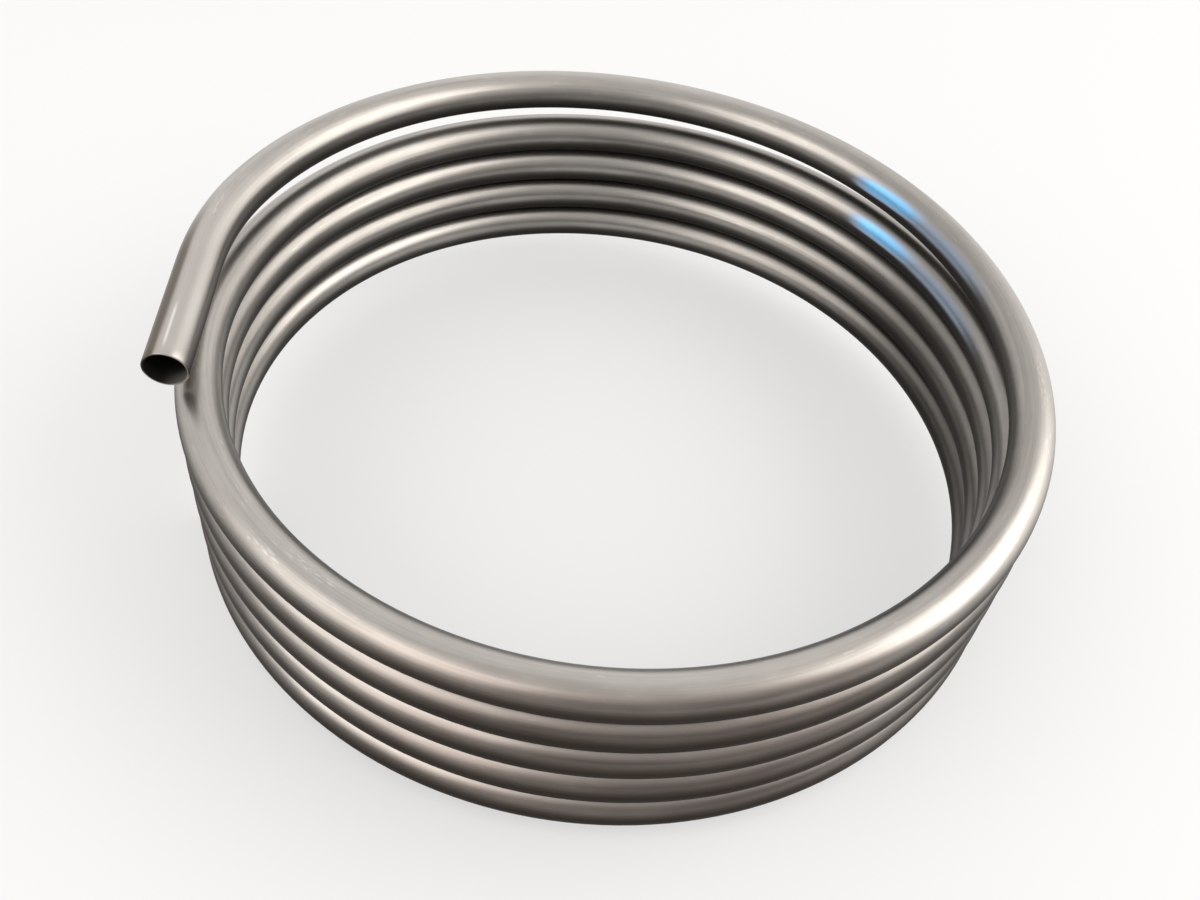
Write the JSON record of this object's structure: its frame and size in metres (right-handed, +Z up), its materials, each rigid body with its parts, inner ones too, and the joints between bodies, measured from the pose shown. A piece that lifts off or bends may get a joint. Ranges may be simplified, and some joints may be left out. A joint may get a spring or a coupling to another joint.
{
  "type": "coiled steel tube",
  "caption": "Thin-walled satin steel tube wound into a close right-handed coil, with a short straight open lead at its sprung upper end.",
  "frame": {"origin": "on the coil's axis, level with the underside of the lowest turn. The sprung top turn puts the middle of the bounding box about 1 mm off that axis", "axes": "+Z up the coil's axis; the straight lead at the upper end points along -Y, at the coil's -X side"},
  "size_m": [0.3837, 0.383, 0.1212],
  "materials": {
    "steel": "satin, drawn along the tube, lightly scuffed"
  },
  "bodies": {
    "root": {"coiled_tube": "steel"}
  },
  "joints": []
}
